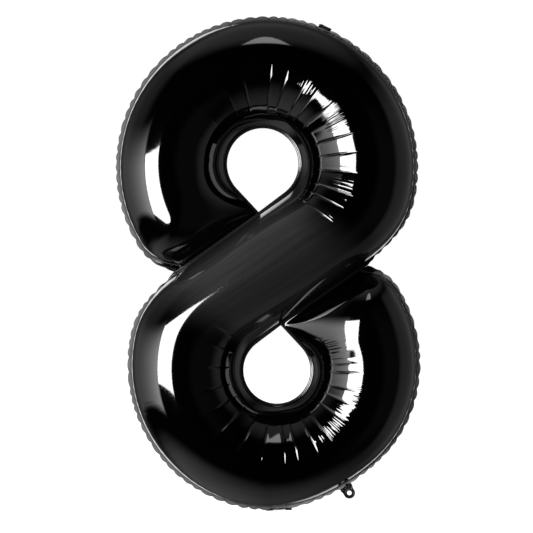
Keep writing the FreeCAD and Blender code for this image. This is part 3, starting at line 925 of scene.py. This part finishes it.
def neck(name, loop, angle, fold):
    """The limp filling neck: two films, welded along their sides and slightly open between them."""
    axes = edge_axes(loop, angle, fold)
    low, high = HINGE_GAP / 2, NECK_LENGTH
    even = np.linspace(low + NECK_END, high - NECK_END, NECK_ROWS)
    across = np.sin(np.linspace(-1, 1, NECK_COLUMNS) * math.pi / 2)
    middle = 1 - across ** 2
    rings = []
    for z in (low, low + NECK_LIP, *even, high - NECK_LIP, high):
        narrowing = smooth((z - low) / NECK_SHOULDER)
        half = (NECK_ROOT + (NECK_WIDTH - NECK_ROOT) * narrowing) / 2
        half *= 1 - NECK_NICK * np.sin(z / NECK_NICK_LENGTH)
        puff = NECK_EDGE + NECK_PUFF * narrowing * (1 - (z / NECK_LENGTH) ** 3) * middle
        wave = NECK_WAVE * np.sin(z / NECK_WAVE_LENGTH + NECK_WAVE_SLANT * across) * narrowing
        wave *= 1 - (1 - NECK_WAVE_MIDDLE) * middle
        from_line = z - NECK_LINE_PLACE - NECK_LINE_SLANT * across
        wave += NECK_LINE * np.exp(-(from_line / NECK_LINE_WIDTH) ** 2)
        rings.append(ring(across * half, wave - puff, wave + puff, z))
    finished(name, placed(np.array(rings), axes), False, name, (name + "_front", name + "_back"))
    root(name, axes, angle, *NECK_STRIP)


def valve_film(name, cad_node, side):
    """One of the valve's two thin films, rippled where it hangs free inside the balloon."""
    axes = edge_axes(LOWER, NECK_ANGLE, 0.0)
    across = np.linspace(-1, 1, VALVE_COLUMNS)
    rings = []
    for z in np.linspace(0, -VALVE_LENGTH, VALVE_ROWS):
        free = between(-z, VALVE_HELD, VALVE_FREE)
        bend = free * VALVE_RIPPLE * np.sin(z / VALVE_RIPPLE_LENGTH + VALVE_RIPPLE_SLANT * across)
        near = bend + side * (free * VALVE_OPEN * (1 - across ** 2) + VALVE_GAP)
        rings.append(ring(across * VALVE_WIDTH / 2, near, near + side * VALVE_FILM, z))
    finished(name, placed(np.array(rings), axes), False, "balloon", (cad_node,), None, CLEAR)


tab("lower_tab", LOWER, LOWER_TAB_ANGLE, LOWER_TAB_FOLD)
tab("upper_tab", UPPER, UPPER_TAB_ANGLE, UPPER_TAB_FOLD)
neck("neck", LOWER, NECK_ANGLE, NECK_FOLD)
valve_film("valve_front", "valve_film_front", -1)
valve_film("valve_back", "valve_film_back", 1)


# ---- studio ----
# Light directions are in degrees: to the left of straight ahead of the balloon's front, as far as
# 180 behind it, and up from level. Panels have soft edges: (from, to, softness) to the left, the
# same upwards, and strength.
PANELS = (((68, 128, 14), (8, 58, 10), 0.25),    # upper left
          ((-135, -70, 9), (-45, 36, 14), 0.36),    # right
          ((-66, -25, 9), (-35, 20, 14), 0.06),    # right, nearer the front
          ((150, 170, 3), (-28, 40, 4), 2.6),    # behind, on the left
          ((-172, -156, 3), (-40, 12, 4), 1.6))    # behind, on the right
GLOW, GLOW_EDGE, GLOW_END = 6.5, (43, 49), (145, 118)   # a bright panel on the left that fades backwards
GLOW_FALL_FROM, GLOW_FALL = 50.0, 28.0
GLOW_BOTTOM, GLOW_TOP = (-23, -18), (22, 0)
CEILING, CEILING_TILT, CEILING_EDGE = 0.42, -0.2, (42, 68)
OVERHEAD, OVERHEAD_BOTTOM, OVERHEAD_TOP = 5.0, (47, 51), (69, 65)    # a bright panel, round at its top
OVERHEAD_SHIFT, OVERHEAD_CURVE, OVERHEAD_BACK = 0.02, 1000.0, (0.1, -0.1)
FLOOR_GLOW, FLOOR_GLOW_EDGE = 0.42, (-38, -80)
FLOOR_LEFT, FLOOR_LEFT_EDGE = -1.15, (-30, -50)
REAR_GLOW, REAR_GLOW_EDGE = 0.13, (0.2, 0.9)

KEY_PLACE, KEY_SIZE, KEY_WATTS = (-1.0, -1.58, -0.055), (1.04, 0.90), 82    # it shines at the origin
STAGE_RADIUS, STAGE_HEIGHT, SURROUND_RADIUS = 9.0, -0.62, 9.5
STAGE_ROUGHNESS, STAGE_GREY, SURROUND_GREY = 0.9, 0.5, 0.0
CAMERA_PLACE = (-0.003, -3.0, -0.004)
CAMERA_SENSOR, CAMERA_SEEN = 36.0, 0.926    # millimetres, and how many metres it shows


def ramp(tree, value, start, end):
    """0 before the start and 1 past the end, with a smooth rise. The start may be the larger."""
    made = node(tree, "ShaderNodeMapRange", interpolation_type="SMOOTHSTEP")
    made.inputs["From Min"].default_value = start
    made.inputs["From Max"].default_value = end
    tree.links.new(value, made.inputs["Value"])
    return made.outputs[0]


def product(tree, *factors):
    total = factors[0]
    for factor in factors[1:]:
        total = maths(tree, "MULTIPLY", total, factor)
    return total


def window(tree, value, start, end, soft):
    """1 from the start to the end and 0 outside them, with soft edges."""
    return product(tree, ramp(tree, value, start - soft, start + soft),
                   ramp(tree, value, end + soft, end - soft))


def lights(tree, x, y, z):
    """The studio's lights, each as a strength in every direction."""
    ahead_left = maths(tree, "ARCTAN2", product(tree, x, -1), product(tree, y, -1))
    left = product(tree, ahead_left, math.degrees(1))
    up = product(tree, maths(tree, "ARCSINE", z), math.degrees(1))
    for across, height, strength in PANELS:
        yield product(tree, window(tree, left, *across), window(tree, up, *height), strength)
    fall = maths(tree, "DIVIDE", maths(tree, "SUBTRACT", GLOW_FALL_FROM, left), GLOW_FALL)
    fall = maths(tree, "EXPONENT", fall)
    yield product(tree, ramp(tree, left, *GLOW_EDGE), ramp(tree, left, *GLOW_END), fall,
                  ramp(tree, up, *GLOW_BOTTOM), ramp(tree, up, *GLOW_TOP), GLOW)
    tilted = maths(tree, "ADD", CEILING, product(tree, x, CEILING_TILT))
    yield product(tree, ramp(tree, up, *CEILING_EDGE), tilted)
    rounding = maths(tree, "POWER", maths(tree, "ADD", x, OVERHEAD_SHIFT), 2.0)
    disc = maths(tree, "ADD", up, product(tree, rounding, OVERHEAD_CURVE))
    yield product(tree, ramp(tree, up, *OVERHEAD_BOTTOM), ramp(tree, disc, *OVERHEAD_TOP),
                  ramp(tree, y, *OVERHEAD_BACK), OVERHEAD)
    yield product(tree, ramp(tree, up, *FLOOR_GLOW_EDGE), FLOOR_GLOW)
    leftward = maths(tree, "MAXIMUM", product(tree, x, FLOOR_LEFT), 0.0)
    yield product(tree, ramp(tree, up, *FLOOR_LEFT_EDGE), leftward)
    yield product(tree, ramp(tree, y, *REAR_GLOW_EDGE), REAR_GLOW)


def world_light():
    """A dark studio: panels at the left, right, top and behind, a ceiling and a pale floor."""
    world = bpy.data.worlds.new("studio")
    bpy.context.scene.world = world
    world.use_nodes = True
    tree = world.node_tree
    for old in list(tree.nodes):
        tree.nodes.remove(old)
    place = node(tree, "ShaderNodeTexCoord")
    split = node(tree, "ShaderNodeSeparateXYZ")
    tree.links.new(place.outputs["Generated"], split.inputs[0])
    total = 0.0
    for light in lights(tree, *split.outputs):
        total = maths(tree, "ADD", total, light)
    background = node(tree, "ShaderNodeBackground")
    tree.links.new(total, background.inputs["Strength"])
    out = node(tree, "ShaderNodeOutputWorld")
    tree.links.new(background.outputs[0], out.inputs[0])


def softbox(name, place, size, watts):
    """A square-cornered area light that shines at the origin."""
    light = bpy.data.lights.new(name, "AREA")
    light.shape = "RECTANGLE"
    light.size, light.size_y = size
    light.energy = watts
    lamp = added(name, light)
    lamp.location = place
    lamp.rotation_euler = (-Vector(place)).to_track_quat("-Z", "Y").to_euler()
    lamp.visible_camera = False


def stage_material(name, grey):
    """Paper that glows white by itself."""
    material, _, shader = new_material(name)
    shader.inputs["Base Color"].default_value = (grey, grey, grey, 1)
    shader.inputs["Roughness"].default_value = STAGE_ROUGHNESS
    shader.inputs["Emission Color"].default_value = (1, 1, 1, 1)
    shader.inputs["Emission Strength"].default_value = 1.0
    return material


def stage():
    """A pale floor and a pale surround. Only the camera sees them; the film mirrors the studio."""
    bpy.ops.mesh.primitive_circle_add(vertices=96, radius=STAGE_RADIUS, fill_type="NGON",
                                      location=(0, 0, STAGE_HEIGHT))
    floor = bpy.context.object
    floor.name = "floor"
    floor.data.materials.append(stage_material("floor_paper", STAGE_GREY))
    bpy.ops.mesh.primitive_uv_sphere_add(segments=64, ring_count=32, radius=SURROUND_RADIUS)
    surround = bpy.context.object
    surround.name = "surround"
    surround.data.materials.append(stage_material("surround_paper", SURROUND_GREY))
    for thing in (floor, surround):
        thing.visible_glossy = False
        thing.visible_diffuse = False
        thing.visible_shadow = False


def camera():
    made = bpy.data.cameras.new("camera")
    made.sensor_width = CAMERA_SENSOR
    made.lens = -CAMERA_SENSOR * CAMERA_PLACE[1] / CAMERA_SEEN
    cam = added("camera", made)
    cam.location = CAMERA_PLACE
    cam.rotation_euler = (math.radians(90), 0, 0)
    bpy.context.scene.camera = cam


world_light()
softbox("key_softbox", KEY_PLACE, KEY_SIZE, KEY_WATTS)
stage()
camera()
bpy.context.scene.view_settings.view_transform = "Standard"
